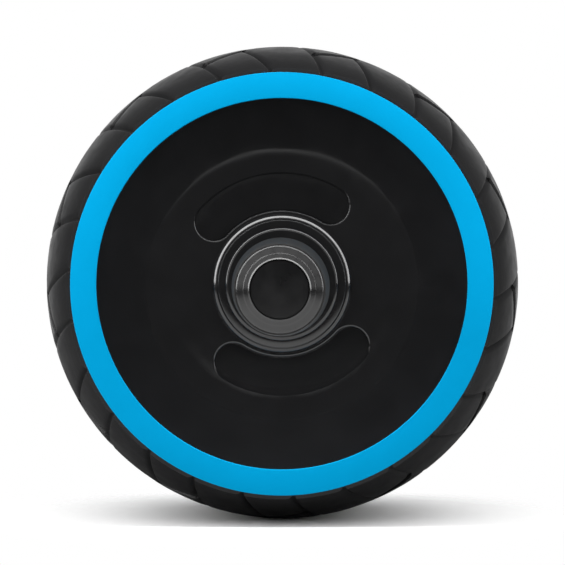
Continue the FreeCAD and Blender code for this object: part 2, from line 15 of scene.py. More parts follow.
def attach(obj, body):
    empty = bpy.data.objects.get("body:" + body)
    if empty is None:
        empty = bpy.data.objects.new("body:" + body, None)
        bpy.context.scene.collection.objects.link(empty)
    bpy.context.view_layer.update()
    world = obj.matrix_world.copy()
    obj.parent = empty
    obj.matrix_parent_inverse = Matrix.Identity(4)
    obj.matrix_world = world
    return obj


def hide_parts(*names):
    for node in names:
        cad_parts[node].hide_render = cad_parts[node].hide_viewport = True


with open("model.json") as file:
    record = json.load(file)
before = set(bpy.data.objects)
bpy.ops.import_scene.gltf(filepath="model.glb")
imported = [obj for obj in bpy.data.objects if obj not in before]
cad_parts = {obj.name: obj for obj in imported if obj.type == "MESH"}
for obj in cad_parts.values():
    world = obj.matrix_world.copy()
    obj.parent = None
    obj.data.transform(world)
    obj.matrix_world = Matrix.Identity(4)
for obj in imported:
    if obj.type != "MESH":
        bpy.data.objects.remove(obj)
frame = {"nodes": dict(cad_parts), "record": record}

LOG = logging.getLogger("ab_wheel_roller")
MM = 0.001
# Vertices that are nearer to each other than this, in metres, become one.
MERGE_DISTANCE = 0.001 * MM
# A rounded corner has a few segments, and more for each millimetre of its rounding.
CORNER_SEGMENTS = 6
SEGMENTS_PER_MM = 3
# A soft noise's finer layers, how strong they are, and the range that most of its values lie in.
NOISE_DETAIL = 3.0
NOISE_ROUGHNESS = 0.55
NOISE_LOW, NOISE_HIGH = 0.3, 0.7
# At a scale of 1 the wave node makes this many rings in tau units. They are bent a little.
WAVE_RINGS = 20
WAVE_DISTORTION = 2.0
WAVE_DETAIL = 1.0
# Where the tread's short groove lies, on the way from one long groove to the next.
SHORT_PLACE = 0.5


class Side(Enum):
    """The two ends of the axle, by the sign of Y."""

    LEFT = 1
    RIGHT = -1

    @property
    def prefix(self) -> str:
        """The start of the names of this side's pieces."""
        return self.name.lower()


def linear(hex_colour: str) -> tuple[float, float, float, float]:
    """Turns an sRGB hex colour to linear light.

    Args:
        hex_colour: Six hex digits after a hash sign.

    Returns:
        Red, green, blue and an alpha of 1.
    """
    parts = [int(hex_colour[start:start + 2], 16) / 255 for start in (1, 3, 5)]
    return (*(c / 12.92 if c <= 0.04045 else ((c + 0.055) / 1.055) ** 2.4 for c in parts), 1.0)


def add_node(
    tree: bpy.types.NodeTree, kind: str, inputs: dict[str | int, object] | None = None, **settings: object
) -> bpy.types.Node:
    """Adds one node with its settings, values and links.

    Args:
        tree: The node tree that gets the node.
        kind: The node's type name.
        inputs: For each input, an output socket to link or a value to set.
        settings: The node's own properties.

    Returns:
        The new node.
    """
    node = tree.nodes.new(kind)
    for name, value in settings.items():
        setattr(node, name, value)
    for name, value in (inputs or {}).items():
        if isinstance(value, bpy.types.NodeSocket):
            tree.links.new(value, node.inputs[name])
        else:
            node.inputs[name].default_value = value
    return node


@dataclass(frozen=True)
class Finish:
    """A surface finish: a base colour, how it shines, and a fine relief. Lengths in millimetres.

    The grain is the size of the relief's bumps, and the relief is their height. The mottle is the share by
    which the colour varies in patches, and the roughness varies by its spread in patches half as large.
    Rings, where they have a width, run round the axle.
    """

    name: str
    colour: str
    roughness: float
    roughness_spread: float = 0.06
    metallic: float = 0.0
    ior: float = 1.5
    specular: float = 0.5
    grain: float = 1.0
    relief: float = 0.01
    mottle: float = 0.12
    mottle_size: float = 14.0
    ring_width: float = 0.0
    ring_relief: float = 0.0

    def material(self) -> bpy.types.Material:
        """Makes the material with its nodes.

        Returns:
            The new material.
        """
        made = bpy.data.materials.new(self.name)
        made.use_nodes = True
        tree = made.node_tree
        tree.nodes.clear()
        place = add_node(tree, "ShaderNodeTexCoord").outputs["Object"]
        tone = self.patches(tree, place, self.mottle_size, 1.0, self.mottle)
        gloss = self.patches(tree, place, self.mottle_size / 2, self.roughness, self.roughness_spread)
        tint = add_node(tree, "ShaderNodeHueSaturation", {"Color": linear(self.colour), "Value": tone})
        shader = add_node(tree, "ShaderNodeBsdfPrincipled", {
            "Base Color": tint.outputs["Color"],
            "Roughness": gloss,
            "Normal": self.surface(tree, place),
            "Metallic": self.metallic,
            "IOR": self.ior,
            "Specular IOR Level": self.specular,
        })
        add_node(tree, "ShaderNodeOutputMaterial", {"Surface": shader.outputs["BSDF"]})
        made.diffuse_color = linear(self.colour)
        return made

    @staticmethod
    def patches(
        tree: bpy.types.NodeTree, place: bpy.types.NodeSocket, size: float, middle: float, spread: float
    ) -> bpy.types.NodeSocket:
        """Makes a value that varies in soft patches.

        Args:
            tree: The material's node tree.
            place: The coordinates that the patches follow.
            size: The patches' size in millimetres.
            middle: The middle of the value's range.
            spread: How far the value goes above and below the middle.

        Returns:
            The value's socket.
        """
        noise = add_node(tree, "ShaderNodeTexNoise", {
            "Vector": place, "Scale": 1 / (size * MM),
            "Detail": NOISE_DETAIL, "Roughness": NOISE_ROUGHNESS,
        })
        value = add_node(tree, "ShaderNodeMapRange", {
            "Value": noise.outputs["Fac"], "From Min": NOISE_LOW, "From Max": NOISE_HIGH,
            "To Min": middle - spread, "To Max": middle + spread,
        })
        return value.outputs["Result"]

    def surface(self, tree: bpy.types.NodeTree, place: bpy.types.NodeSocket) -> bpy.types.NodeSocket:
        """Makes the normal of the relief, and of the rings where there are any.

        Args:
            tree: The material's node tree.
            place: The coordinates that the relief follows.

        Returns:
            The normal's socket.
        """
        noise = add_node(tree, "ShaderNodeTexNoise", {
            "Vector": place, "Scale": 1 / (self.grain * MM),
            "Detail": NOISE_DETAIL, "Roughness": NOISE_ROUGHNESS,
        })
        bump = add_node(tree, "ShaderNodeBump", {
            "Height": noise.outputs["Fac"], "Distance": self.relief * MM, "Strength": 1.0,
        })
        if self.ring_width == 0:
            return bump.outputs["Normal"]
        rings = add_node(tree, "ShaderNodeTexWave", {
            "Vector": place, "Scale": math.tau / (WAVE_RINGS * self.ring_width * MM),
            "Distortion": WAVE_DISTORTION, "Detail": WAVE_DETAIL,
        }, wave_type="RINGS", rings_direction="Y")
        ringed = add_node(tree, "ShaderNodeBump", {
            "Height": rings.outputs["Fac"], "Distance": self.ring_relief * MM,
            "Normal": bump.outputs["Normal"],
        })
        return ringed.outputs["Normal"]


FINISHES: dict[str, Finish] = {
    # Moulded rubber: near black and dull from the front, with a broad grey sheen where it is seen aslant.
    "tyre": Finish("vulcanised_rubber_moulded", "#121213", 0.38, specular=0.22, grain=1.2, relief=0.03),
    # Matt polypropylene: a plain dark structural moulding inside the wheel.
    "drum_plastic": Finish("polypropylene_moulded_matt", "#202021", 0.55, grain=0.8, relief=0.02),
    # Through-coloured ABS from a finely etched mould: an even, saturated blue with hardly any shine.
    "trim_plastic": Finish(
        "abs_moulded_satin_blue", "#00A8E2", 0.55, specular=0.03, mottle=0.02, grain=0.8, relief=0.01,
    ),
    # ABS from a polished mould: a black mirror with a very slight waviness and thin bright edges.
    "cover_plastic": Finish(
        "abs_polished_black", "#1A1A1B", 0.1, roughness_spread=0.03, grain=14.0, relief=0.006,
        ring_width=9.0, ring_relief=0.05,
    ),
    # The same polished ABS on a small round ring: long highlights that run round it.
    "collar_plastic": Finish(
        "abs_polished_black_collar", "#141415", 0.12, roughness_spread=0.03, grain=9.0, relief=0.01,
    ),
    # Ground bearing steel: bright and nearly mirror-smooth.
    "bearing_steel": Finish("bearing_steel_ground", "#C9CACC", 0.14, metallic=1.0, grain=0.6, relief=0.002),
    # Glass-filled polyamide: a dull cream moulding.
    "cage_plastic": Finish("polyamide_moulded", "#C7B58F", 0.5, grain=0.8, relief=0.02),
    # Pressed sheet steel: satin, with the faint waviness of pressing.
    "shield_steel": Finish("steel_pressed", "#B4B6B9", 0.3, metallic=1.0, grain=0.8, relief=0.004),
    # Zinc-plated steel: a cloudy bright grey.
    "zinc_steel": Finish("steel_zinc_plated", "#B9BCC0", 0.32, metallic=1.0, grain=2.0, relief=0.004),
    # Cold-drawn steel tube: a plain satin grey.
    "axle_steel": Finish("steel_drawn", "#A9ABAE", 0.35, metallic=1.0, grain=0.7, relief=0.004),
    # Turned aluminium: a light satin grey.
    "spacer_alloy": Finish("aluminium_turned", "#C8CACC", 0.3, metallic=1.0, grain=0.5, relief=0.004),
    # Phosphated spring steel: dark and dull.
    "spring_steel": Finish("spring_steel_phosphated", "#3A3A3C", 0.5, metallic=1.0, grain=0.5, relief=0.01),
    # Moulded ABS: a black neck with a soft shine.
    "core_plastic": Finish("abs_moulded_black", "#121213", 0.14, grain=3.0, relief=0.004),
    # Stippled thermoplastic rubber: dull black, with a real bump relief, and strong colour patches about as
    # large as its grains that paint specks of light onto it as painted highlights. The real grains are about
    # half as large, and wouldn't show.
    "grip_rubber": Finish(
        "thermoplastic_rubber_stippled", "#1C1C1C", 0.58, specular=0.25, grain=1.8, relief=0.4,
        # Painted highlights: the strong, fine mottle lightens and darkens the colour in specks that stand in
        # for light caught by grains.
        mottle=0.45, mottle_size=2.2,
    ),
    # Moulded ABS with a satin skin: black, with soft grey highlights on its slope.
    "cap_plastic": Finish("abs_satin_black_cap", "#101011", 0.2, grain=3.0, relief=0.005),
    # The same satin ABS on a flat disc: an even charcoal.
    "disc_plastic": Finish("abs_satin_black_disc", "#101011", 0.32, specular=0.3, grain=0.8, relief=0.004),
}


def finished(name: str, shape: bmesh.types.BMesh, crease: float = 32.0) -> bpy.types.Object:
    """Joins a mesh's seams, points its faces outwards and makes it an object, smooth but for its creases.

    Args:
        name: The piece's name.
        shape: The mesh, in metres, which is freed.
        crease: The angle in degrees past which an edge stays sharp.

    Returns:
        The new object, at the origin.
    """
    bmesh.ops.remove_doubles(shape, verts=shape.verts[:], dist=MERGE_DISTANCE)
    bmesh.ops.recalc_face_normals(shape, faces=shape.faces[:])
    mesh = bpy.data.meshes.new(name)
    shape.to_mesh(mesh)
    shape.free()
    mesh.shade_smooth()
    mesh.set_sharp_from_angle(angle=math.radians(crease))
    piece = bpy.data.objects.new(name, mesh)
    bpy.context.scene.collection.objects.link(piece)
    return piece


@dataclass(frozen=True)
class Corner:
    """A corner of a half profile, in millimetres: its radius, its station and how far it is rounded."""

    radius: float
    station: float
    rounding: float = 0.0


def turned(
    name: str, corners: list[Corner], side: Side, closed: bool = True, steps: int = 192
) -> bpy.types.Object:
    """Turns a half profile about the axle, with its corners rounded first.

    Args:
        name: The piece's name.
        corners: The profile's corners in order, with stations out from the wheel's middle.
        side: The end of the axle that the piece is on.
        closed: Whether the profile closes on itself, and not on the axle.
        steps: How many steps the full turn has.

    Returns:
        The new object, at the origin.
    """
    shape = bmesh.new()
    verts = [shape.verts.new((c.radius * MM, side.value * c.station * MM, 0)) for c in corners]
    ends = verts[1:] + verts[:1] if closed else verts[1:]
    for here, there in zip(verts, ends):
        shape.edges.new((here, there))
    for vert, corner in list(zip(verts, corners)):
        if corner.rounding > 0:
            segments = CORNER_SEGMENTS + int(SEGMENTS_PER_MM * corner.rounding)
            bmesh.ops.bevel(
                shape, geom=[vert], offset=corner.rounding * MM, offset_type="OFFSET",
                affect="VERTICES", segments=segments, profile=0.5, material=-1,
            )
    bmesh.ops.spin(
        shape, geom=shape.verts[:] + shape.edges[:], cent=(0, 0, 0), axis=(0, 1, 0),
        angle=math.tau, steps=steps, use_merge=True,
    )
    return finished(name, shape)


class Paints:
    """The materials of the record's slots, made once and shared."""

    def __init__(self) -> None:
        """Makes each slot's material."""
        self.made = {slot: finish.material() for slot, finish in FINISHES.items()}
        self.slots = {part["node"]: part["material_slot"] for part in frame["record"]["subparts"]}

    def on_node(self, node: str) -> None:
        """Gives a CAD node its slot's material.

        Args:
            node: The node's name.
        """
        for slot in frame["nodes"][node].material_slots:
            slot.material = self.made[self.slots[node]]
        LOG.info("node %s dressed", node)

    def on_piece(self, piece: bpy.types.Object, body: str, node: str) -> None:
        """Gives a new piece the finish and body of the CAD node that it stands for, and hides that node.

        Args:
            piece: The new piece.
            body: The body that it rides on.
            node: The CAD node that it replaces.
        """
        piece.data.materials.append(self.made[self.slots[node]])
        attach(piece, body)
        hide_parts(node)
        LOG.info("piece %s rides on %s", piece.name, body)


@dataclass(frozen=True)
class Column:
    """A line of the tread's mesh that follows the grooves.

    Its place is 0 on a long groove, SHORT_PLACE on the short one and 1 on the next long one. The offset is in
    millimetres square to the groove. The shares say how much of each groove's depth it has.
    """

    place: float
    offset: float = 0.0
    long_share: float = 0.0
    short_share: float = 0.0
    wedge_share: float = 0.0


@dataclass(frozen=True)
class Row:
    """A line of the tread's mesh that runs round the tyre, between two guides.

    The guides are how far in it lies on the long groove and on the short one, in millimetres. The drop
    is how far it lies under the crown, and the shares say how much of the grooves' depth it has.
    """

    on_long: float
    on_short: float
    drop: float = 0.0
    short_share: float = 1.0
    wedge_share: float = 0.0


@dataclass
class Tyre:
    """The domed tyre, with long leaning grooves, short ones and a wedge between. Sizes in millimetres."""

    radius: float = 95.0
    half_width: float = 59.0
    crown_radius: float = 96.002
    flat_half: float = 14.0
    thickness: float = 5.0
    edge_radius: float = 82.4
    edge_width: float = 0.4
    periods: int = 13
    block_angle: float = 22.323
    groove_depth: float = 1.4
    lean_radius: float = 665.07
    lean_across: float = 642.02
    lean_in: float = -173.6
    long_base: float = 2.227
    short_base: float = -17.885
    block_width: float = 40.2
    merge_in: float = 18.3
    tip_in: float = 22.3
    corner_near: float = 29.0
    corner_far: float = 32.9
    inner_steps: int = 20
    # How near the vertices of two periods are where they meet.
    seam: float = 0.002
    # The angle in degrees past which an edge stays sharp.
    crease: float = 31.0
    # Pairs of a distance from a groove's middle and a share of its depth: a steep lip on one side, and a
    # slope about twice as wide on the other, as on overlapping leaves. The wedge's far wall, by the distance
    # past the wedge's end, is sheer and a little undercut.
    lip: tuple[tuple[float, float], ...] = (
        (0.4, 1.0), (0.58, 0.86), (0.68, 0.6), (0.76, 0.34), (0.88, 0.14), (1.05, 0.04), (1.35, 0.0),
    )
    wall: tuple[tuple[float, float], ...] = ((0.15, 1.0), (0.0, 0.1), (0.06, 0.0))
    slope: tuple[tuple[float, float], ...] = (
        (3.0, 0.0), (2.3, 0.06), (1.7, 0.18), (1.25, 0.36),
        (0.95, 0.58), (0.7, 0.84), (0.55, 0.96), (0.4, 1.0),
    )
    plain_places: tuple[float, ...] = (0.09, 0.16, 0.23, 0.31)
    plain_rows: int = 9
    middle_rows: int = 6

    def crown(self, depth: float, station: float) -> float:
        """The radius of the domed surface a depth under the tread, at a station along the axle."""
        past_flat = max(abs(station) - self.flat_half, 0)
        return self.radius - self.crown_radius + math.sqrt((self.crown_radius - depth) ** 2 - past_flat ** 2)

    def groove_angle(self, base: float, inward: float) -> float:
        """Finds where a leaning groove's middle is, at a distance in from the tyre's edge.

        Args:
            base: How far the groove is shifted round the tyre, in millimetres.
            inward: The distance in from the edge.

        Returns:
            The angle about the axle, in radians.
        """
        lean = self.lean_across - math.sqrt(self.lean_radius ** 2 - (inward - self.lean_in) ** 2)
        across = (base + lean) / self.crown(0, self.half_width - inward)
        return math.radians(self.block_angle) + math.asin(across)

    def columns(self) -> list[Column]:
        """Lists the lines along the grooves, from one long groove to the next.

        Returns:
            The lines in order.
        """
        plain = self.plain_places
        found = [Column(0, long_share=1)]
        found += [Column(0, offset, long_share=share) for offset, share in self.lip]
        found += [Column(place) for place in plain]
        found += [Column(SHORT_PLACE, -offset, short_share=share) for offset, share in self.slope]
        found += [Column(SHORT_PLACE, short_share=1, wedge_share=1)]
        found += [Column(SHORT_PLACE, offset, short_share=share, wedge_share=1) for offset, share in self.lip]
        found += [Column(SHORT_PLACE + place, wedge_share=1) for place in plain]
        found += [Column(1, -offset, long_share=share, wedge_share=1) for offset, share in self.slope]
        found += [Column(1, long_share=1, wedge_share=1)]
        return found

    def rows(self) -> list[Row]:
        """Lists the lines round the tyre, from its edge in to the middle.

        Returns:
            The lines in order.
        """
        found = [Row(0, 0, self.crown(0, self.half_width) - self.edge_radius)]
        edge = self.edge_width
        ends = (self.merge_in - self.lip[-1][0], self.corner_near - self.lip[-1][0])
        for step in range(self.plain_rows):
            share = step / self.plain_rows
            found.append(Row(*(edge + (end - edge) * share for end in ends)))
        for offset, share in reversed(self.lip):
            found.append(Row(self.merge_in - offset, self.corner_near - offset, wedge_share=share))
        found.append(Row(
            (self.merge_in + self.tip_in) / 2, (self.corner_near + self.corner_far) / 2, wedge_share=1,
        ))
        for beyond, share in self.wall:
            found.append(Row(self.tip_in + beyond, self.corner_far + beyond, 0, share, share))
        starts = (self.tip_in + self.wall[-1][0], self.corner_far + self.wall[-1][0])
        for step in range(1, self.middle_rows + 1):
            share = step / self.middle_rows
            found.append(Row(*(start + (self.half_width - start) * share for start in starts), 0, 0, 0))
        return found

    def point(self, column: Column, row: Row, side: Side) -> Vector:
        """The place of one vertex of the tread.

        Args:
            column: The line along the grooves.
            row: The line round the tyre.
            side: The half of the tyre that it is on.

        Returns:
            The point, in metres.
        """
        period = math.tau / self.periods
        to_short = 1 - abs(2 * (column.place + column.offset / self.block_width) - 1)
        inward = row.on_long + (row.on_short - row.on_long) * min(max(to_short, 0), 1)
        long_angle = self.groove_angle(self.long_base, inward)
        short_angle = self.groove_angle(self.short_base, inward) + period
        if column.place <= SHORT_PLACE:
            angle = long_angle + (short_angle - long_angle) * 2 * column.place
        else:
            angle = short_angle + (long_angle + period - short_angle) * (2 * column.place - 1)
        station = self.half_width - inward
        crown = self.crown(0, station)
        angle += column.offset / (crown * math.cos(math.asin((inward - self.lean_in) / self.lean_radius)))
        share = max(
            column.long_share, column.short_share * row.short_share, column.wedge_share * row.wedge_share,
        )
        radius = crown - row.drop - share * self.groove_depth
        return Vector((radius * math.cos(angle), side.value * station, radius * math.sin(angle))) * MM

    def build(self) -> bpy.types.Object:
        """Makes one period of the tread, copies it round, and closes the tyre on its inside.

        Returns:
            The tyre.
        """
        columns = self.columns()
        half = self.rows()
        lines = [(row, Side.LEFT) for row in half] + [(row, Side.RIGHT) for row in reversed(half[:-1])]
        shape = bmesh.new()
        bmesh.ops.create_grid(shape, x_segments=len(columns) - 1, y_segments=len(lines) - 1, size=1)
        for vert in shape.verts:
            column = round((vert.co.x + 1) / 2 * (len(columns) - 1))
            line = round((vert.co.y + 1) / 2 * (len(lines) - 1))
            vert.co = self.point(columns[column], *lines[line])
        copies = self.periods - 1
        bmesh.ops.spin(
            shape, geom=shape.verts[:] + shape.edges[:] + shape.faces[:], cent=(0, 0, 0), axis=(0, 1, 0),
            angle=copies * math.tau / self.periods, steps=copies, use_duplicate=True,
        )
        bmesh.ops.remove_doubles(shape, verts=shape.verts[:], dist=self.seam * MM)
        rims = {
            side: [edge for edge in shape.edges if edge.is_boundary and side.value * edge.verts[0].co.y > 0]
            for side in Side
        }
        edges = rims[Side.LEFT]
        for step in range(self.inner_steps + 1):
            station = self.half_width * (1 - 2 * step / self.inner_steps)
            reach = self.crown(self.thickness, station)
            grown = bmesh.ops.extrude_edge_only(shape, edges=edges)["geom"]
            edges = [item for item in grown if isinstance(item, bmesh.types.BMEdge)]
            for vert in {vert for edge in edges for vert in edge.verts}:
                out = Vector((vert.co.x, 0, vert.co.z)).normalized() * reach * MM
                vert.co = out + Vector((0, station * MM, 0))
            edges = [edge for edge in edges if edge.is_boundary]
        bmesh.ops.bridge_loops(shape, edges=edges + rims[Side.RIGHT])
        return finished("moulded_tyre", shape, self.crease)

    def dress(self, paints: Paints) -> None:
        """Builds the tyre and sets it on the wheel."""
        paints.on_piece(self.build(), "wheel", "tyre")


@dataclass
class TrimRing:
    """The flat blue ring and the spigot behind it. Sizes in millimetres out from the wheel's middle."""

    side: Side
    inner: float = 72.315
    outer: float = 82.3
    spigot_inner: float = 74.015
    spigot_outer: float = 75.515
    spigot_end: float = 51.0
    back: float = 59.0
    face: float = 62.0
    rounding: float = 0.12
    steps: int = 256

    def build(self) -> bpy.types.Object:
        """Makes the ring.

        Returns:
            The ring.
        """
        return turned(f"{self.side.prefix}_satin_ring", [
            Corner(self.inner, self.back),
            Corner(self.spigot_inner, self.back),
            Corner(self.spigot_inner, self.spigot_end),
            Corner(self.spigot_outer, self.spigot_end),
            Corner(self.spigot_outer, self.back),
            Corner(self.outer, self.back),
            Corner(self.outer, self.face, self.rounding),
            Corner(self.inner, self.face, self.rounding),
        ], self.side, steps=self.steps)

    def dress(self, paints: Paints) -> None:
        """Builds the ring and sets it on the wheel."""
        paints.on_piece(self.build(), "wheel", f"{self.side.prefix}_trim_ring")


@dataclass
class HubCollar:
    """The bevelled ring round the hub's opening. Sizes in millimetres out from the wheel's middle."""

    side: Side
    bore: float = 19.2
    spigot: float = 20.95
    step: float = 24.95
    outer: float = 27.4
    inner: float = 21.8
    bearing_face: float = 45.85
    hub_end: float = 48.85
    dish_floor: float = 51.0
    crest: float = 55.7
    bevel_outer: float = 26.75
    bevel_inner: float = 25.7
    bevel_drop: float = 0.95
    side_drop: float = 2.1
    ridge: float = 24.8
    flat_sink: float = 0.12
    top_edge: float = 23.5
    inner_rise: float = 0.2
    spigot_round: float = 0.2
    side_round: float = 0.4
    bevel_round: float = 0.25
    ridge_foot_round: float = 0.04
    ridge_round: float = 0.08
    top_round: float = 1.2
    inner_round: float = 0.4

    def build(self) -> bpy.types.Object:
        """Makes the collar.

        Returns:
            The collar.
        """
        flat = self.crest - self.flat_sink
        top = self.crest + self.inner_rise
        return turned(f"{self.side.prefix}_polished_collar", [
            Corner(self.bore, self.bearing_face, self.spigot_round),
            Corner(self.spigot, self.bearing_face, self.spigot_round),
            Corner(self.spigot, self.hub_end),
            Corner(self.step, self.hub_end),
            Corner(self.step, self.dish_floor),
            Corner(self.outer, self.dish_floor),
            Corner(self.outer, self.crest - self.side_drop, self.side_round),
            Corner(self.bevel_outer, self.crest - self.bevel_drop, self.bevel_round),
            Corner(self.bevel_inner, flat, self.bevel_round),
            Corner(self.ridge + self.flat_sink, flat, self.ridge_foot_round),
            Corner(self.ridge, self.crest, self.ridge_round),
            Corner(self.top_edge, top, self.top_round),
            Corner(self.inner, top, self.inner_round),
            Corner(self.inner, self.dish_floor),
            Corner(self.bore, self.hub_end, self.spigot_round),
        ], self.side)

    def dress(self, paints: Paints) -> None:
        """Builds the collar and sets it on the wheel."""
        paints.on_piece(self.build(), "wheel", f"{self.side.prefix}_hub_collar")


@dataclass
class Handle:
    """One handle: core, grip, end cap and disc. Sizes in millimetres out from the wheel's middle."""

    side: Side
    core_bore: float = 10.05
    core_outer: float = 13.45
    core_start: float = 47.15
    neck: float = 14.95
    neck_round: float = 0.6
    neck_end: float = 64.0
    guard: float = 22.0
    guard_round: float = 1.5
    recess: float = 11.75
    recess_floor: float = 185.5
    bolt_hole: float = 4.1
    axle_end: float = 182.0
    bore: float = 13.5
    start: float = 68.0
    flange: float = 17.4
    flange_round: float = 2.0
    # Radius and station of each swell and waist of the grip, in order.
    swells: tuple[tuple[float, float], ...] = (
        (17.4, 73.0), (16.0, 89.44), (18.0, 127.8), (16.1, 182.6),
    )
    band_end: float = 192.6
    seat: float = 194.6
    lip: float = 15.55
    cap_lip: float = 15.2
    lip_side: float = 195.2
    lip_round: float = 0.1
    # Radius and station of each end of the lip's bevels, from its foot to its crest.
    bevels: tuple[tuple[float, float], ...] = (
        (14.6, 195.66), (12.75, 196.52), (12.3, 196.88), (11.0, 197.48), (10.45, 198.0),
    )
    disc: float = 10.22
    disc_top: float = 197.1
    disc_foot: float = 196.1
    disc_gap: float = 0.05
    disc_round: float = 0.25
    stem_outer: float = 11.7
    stem_inner: float = 9.5
    stem_end: float = 192.2
    smoothness: float = 0.4
    knots: int = 24
    end_steps: int = 8

    def core(self) -> bpy.types.Object:
        """Makes the core: a neck, a round guard, a seat for the grip and a web for the bolt.

        Returns:
            The core.
        """
        return turned(f"{self.side.prefix}_moulded_core", [
            Corner(self.core_bore, self.core_start),
            Corner(self.neck, self.core_start, self.neck_round),
            Corner(self.neck, self.neck_end),
            Corner(self.guard, self.neck_end, self.guard_round),
            Corner(self.guard, self.start, self.guard_round),
            Corner(self.core_outer, self.start),
            Corner(self.core_outer, self.seat),
            Corner(self.recess, self.seat),
            Corner(self.recess, self.recess_floor),
            Corner(self.bolt_hole, self.recess_floor),
            Corner(self.bolt_hole, self.axle_end),
            Corner(self.core_bore, self.axle_end),
        ], self.side)

    def grip(self) -> bpy.types.Object:
        """Makes the rubber grip, whose outline swells and narrows.

        Returns:
            The grip.
        """
        line = [Corner(self.bore, self.start), Corner(self.flange, self.start, self.flange_round)]
        for here, there in zip(self.swells, self.swells[1:]):
            reach = (there[1] - here[1]) * self.smoothness
            run = interpolate_bezier(
                Vector(here), Vector((here[0], here[1] + reach)), Vector((there[0], there[1] - reach)),
                Vector(there), self.knots,
            )
            line += [Corner(knot[0], knot[1]) for knot in run[:-1]]
        widest = self.swells[-1][0]
        line += [Corner(*self.swells[-1]), Corner(widest, self.band_end)]
        for step in range(1, self.end_steps + 1):
            turn = step / self.end_steps * math.pi / 2
            radius = self.lip + (widest - self.lip) * math.cos(turn)
            line.append(Corner(radius, self.band_end + (self.seat - self.band_end) * math.sin(turn)))
        line.append(Corner(self.bore, self.seat))
        return turned(f"{self.side.prefix}_stippled_grip", line, self.side)

    def cap(self) -> bpy.types.Object:
        """Makes the end cap: a lip with three bevels, a recess for the disc and a stem.

        Returns:
            The cap.
        """
        return turned(f"{self.side.prefix}_satin_cap", [
            Corner(0, self.seat),
            Corner(self.stem_inner, self.seat),
            Corner(self.stem_inner, self.stem_end),
            Corner(self.stem_outer, self.stem_end),
            Corner(self.stem_outer, self.seat),
            Corner(self.cap_lip, self.seat),
            Corner(self.cap_lip, self.lip_side, self.lip_round),
            *(Corner(radius, station, self.lip_round) for radius, station in self.bevels),
            Corner(self.disc, self.disc_top, self.lip_round),
            Corner(self.disc, self.disc_foot),
            Corner(0, self.disc_foot),
        ], self.side, closed=False)

    def plate(self) -> bpy.types.Object:
        """Makes the plain disc in the cap.

        Returns:
            The disc.
        """
        edge = self.disc - self.disc_gap
        return turned(f"{self.side.prefix}_bare_disc", [
            Corner(0, self.disc_foot),
            Corner(edge, self.disc_foot),
            Corner(edge, self.disc_top, self.disc_round),
            Corner(0, self.disc_top),
        ], self.side, closed=False)

    def build(self) -> dict[str, bpy.types.Object]:
        """Makes the handle's pieces.

        Returns:
            Each piece, by the end of the name of the node that it replaces.
        """
        return {
            "handle_core": self.core(), "grip": self.grip(), "end_cap": self.cap(), "cap_disc": self.plate(),
        }

    def dress(self, paints: Paints) -> None:
        """Builds the handle and sets it on the axle."""
        for node, piece in self.build().items():
            paints.on_piece(piece, "axle_assembly", f"{self.side.prefix}_{node}")


@dataclass(frozen=True)
class Arch:
    """A row of softboxes that arches over the object from floor to floor.

    The polar angle lies between the camera's side of the axle and the lamps, and the thickness is how much
    of that angle they cover, both in degrees. The radiance is how bright a lamp's face is, where 1 is white.
    """

    name: str
    polar: float
    thickness: float
    radiance: float


